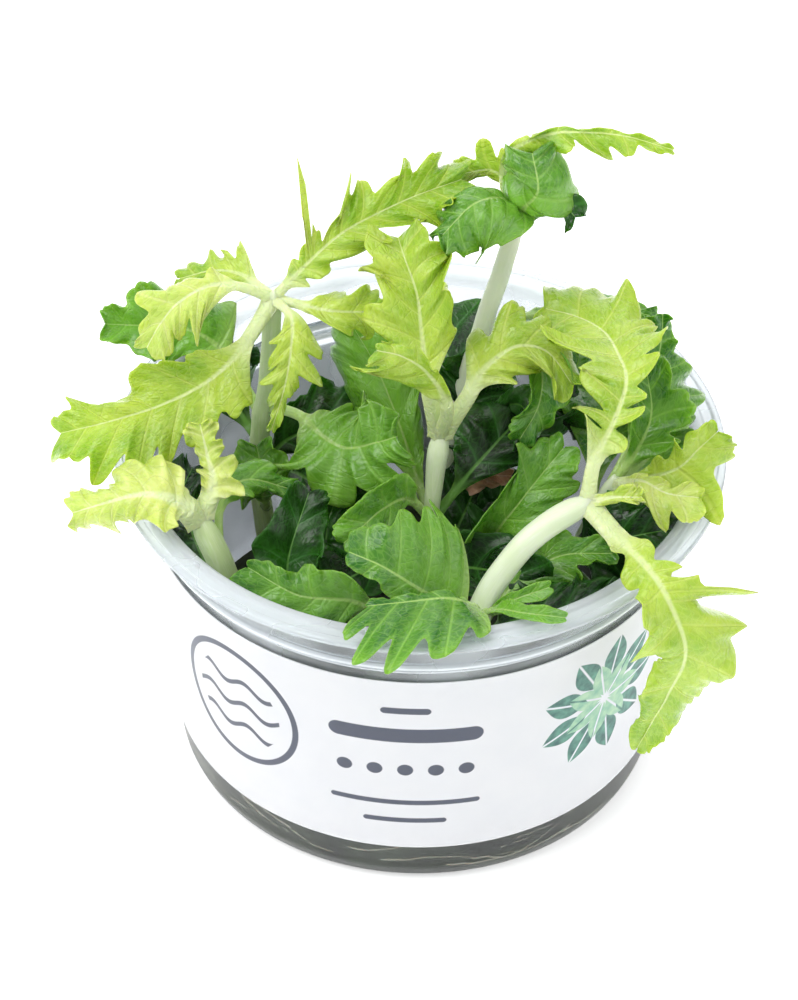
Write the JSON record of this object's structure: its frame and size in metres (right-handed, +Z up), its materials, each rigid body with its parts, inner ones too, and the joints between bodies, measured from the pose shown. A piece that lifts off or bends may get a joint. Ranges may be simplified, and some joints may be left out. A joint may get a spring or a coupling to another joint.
{
  "type": "potted aquarium plant",
  "caption": "Leafy aquatic plant with lobed bright green leaves, growing from gel in an open clear plastic cup with a wrap label.",
  "frame": {"origin": "middle of the cup's underside", "axes": "+Z up along the cup's axis, -Y the front, where the longest leaf hangs over the lip, +X to the right as seen from the front"},
  "size_m": [0.1085, 0.1058, 0.1108],
  "materials": {
    "cup_plastic": "clear, glossy",
    "label_paper": "smooth, bluish white",
    "gel": "wet, slightly cloudy",
    "stem": "smooth, pale green",
    "leaf_pale": "soft sheen",
    "leaf_young": "soft sheen",
    "leaf_mid": "wet sheen",
    "leaf_dark": "wet sheen",
    "leaf_faded": "dull"
  },
  "bodies": {
    "root": {"cup": "cup_plastic", "label": "label_paper", "gel": "gel", "stem_front_right": "stem", "stem_centre": "stem", "stem_tall_back": "stem", "stem_left_back": "stem", "stem_left_low": "stem", "stem_right": "stem", "stem_front_left": "stem", "leaf_right_arching": "leaf_young", "leaf_right_hanging": "leaf_young", "leaf_right_bud": "leaf_pale", "leaf_right_inner": "leaf_pale", "leaf_right_edge": "leaf_young", "leaf_back_right_dark": "leaf_dark", "leaf_back_right_lobed": "leaf_mid", "leaf_right_olive": "leaf_mid", "leaf_centre_right_broad": "leaf_mid", "leaf_centre_right_mid": "leaf_mid", "leaf_inner_glossy": "leaf_dark", "leaf_inner_faded": "leaf_faded", "leaf_back_right_top": "leaf_dark", "leaf_centre_upright": "leaf_young", "leaf_centre_to_right": "leaf_young", "leaf_centre_small": "leaf_young", "leaf_top_long": "leaf_young", "leaf_top_left": "leaf_young", "leaf_top_dark": "leaf_dark", "leaf_top_cupped": "leaf_mid", "leaf_top_small": "leaf_dark", "leaf_left_big": "leaf_young", "leaf_left_arching": "leaf_pale", "leaf_left_hanging": "leaf_young", "leaf_left_to_centre_long": "leaf_young", "leaf_left_to_centre_short": "leaf_young", "leaf_left_back_broad": "leaf_mid", "leaf_left_back_top": "leaf_young", "leaf_centre_left_frilly": "leaf_mid", "leaf_centre_left_tall": "leaf_mid", "leaf_left_low_pale": "leaf_pale", "leaf_left_low_frilly": "leaf_pale", "leaf_front_broad": "leaf_mid", "leaf_front_over_rim": "leaf_mid", "leaf_front_finger_upper": "leaf_mid", "leaf_front_finger_lower": "leaf_mid", "leaf_front_left_rim": "leaf_mid", "leaf_inner_left_dark": "leaf_dark", "leaf_inner_front_right": "leaf_mid", "leaf_inner_right_dark": "leaf_dark", "leaf_inner_round": "leaf_dark", "leaf_inner_left_round": "leaf_mid", "leaf_inner_left_wavy": "leaf_mid", "leaf_inner_tall_dark": "leaf_dark", "leaf_inner_small": "leaf_mid", "leaf_inner_olive": "leaf_mid", "leaf_inner_back": "leaf_dark"}
  },
  "joints": []
}
